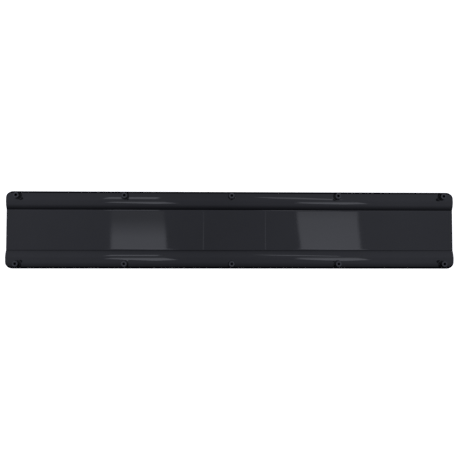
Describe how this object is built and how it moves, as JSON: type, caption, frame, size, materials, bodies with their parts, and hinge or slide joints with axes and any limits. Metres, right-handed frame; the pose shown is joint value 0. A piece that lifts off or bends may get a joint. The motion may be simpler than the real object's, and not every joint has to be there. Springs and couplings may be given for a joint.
{
  "type": "kick plate",
  "caption": "Long moulded plastic kick plate with two rounded ridges on its back and ten tubular screw posts that hold threaded inserts.",
  "frame": {"origin": "middle of the show face, which the plate lies on", "axes": "+X along the plate, +Y across it towards the picture's upper edge, +Z out of its back, along the posts"},
  "size_m": [0.61, 0.105, 0.017],
  "materials": {
    "plate_plastic": "black polished moulding",
    "post_plastic": "black satin moulding",
    "insert_metal": "blackened, dull"
  },
  "bodies": {
    "root": {"face_plate": "plate_plastic", "screw_post_upper_1": "post_plastic", "threaded_insert_upper_1": "insert_metal", "screw_post_upper_2": "post_plastic", "threaded_insert_upper_2": "insert_metal", "screw_post_upper_3": "post_plastic", "threaded_insert_upper_3": "insert_metal", "screw_post_upper_4": "post_plastic", "threaded_insert_upper_4": "insert_metal", "screw_post_upper_5": "post_plastic", "threaded_insert_upper_5": "insert_metal", "screw_post_lower_1": "post_plastic", "threaded_insert_lower_1": "insert_metal", "screw_post_lower_2": "post_plastic", "threaded_insert_lower_2": "insert_metal", "screw_post_lower_3": "post_plastic", "threaded_insert_lower_3": "insert_metal", "screw_post_lower_4": "post_plastic", "threaded_insert_lower_4": "insert_metal", "screw_post_lower_5": "post_plastic", "threaded_insert_lower_5": "insert_metal"}
  },
  "joints": []
}
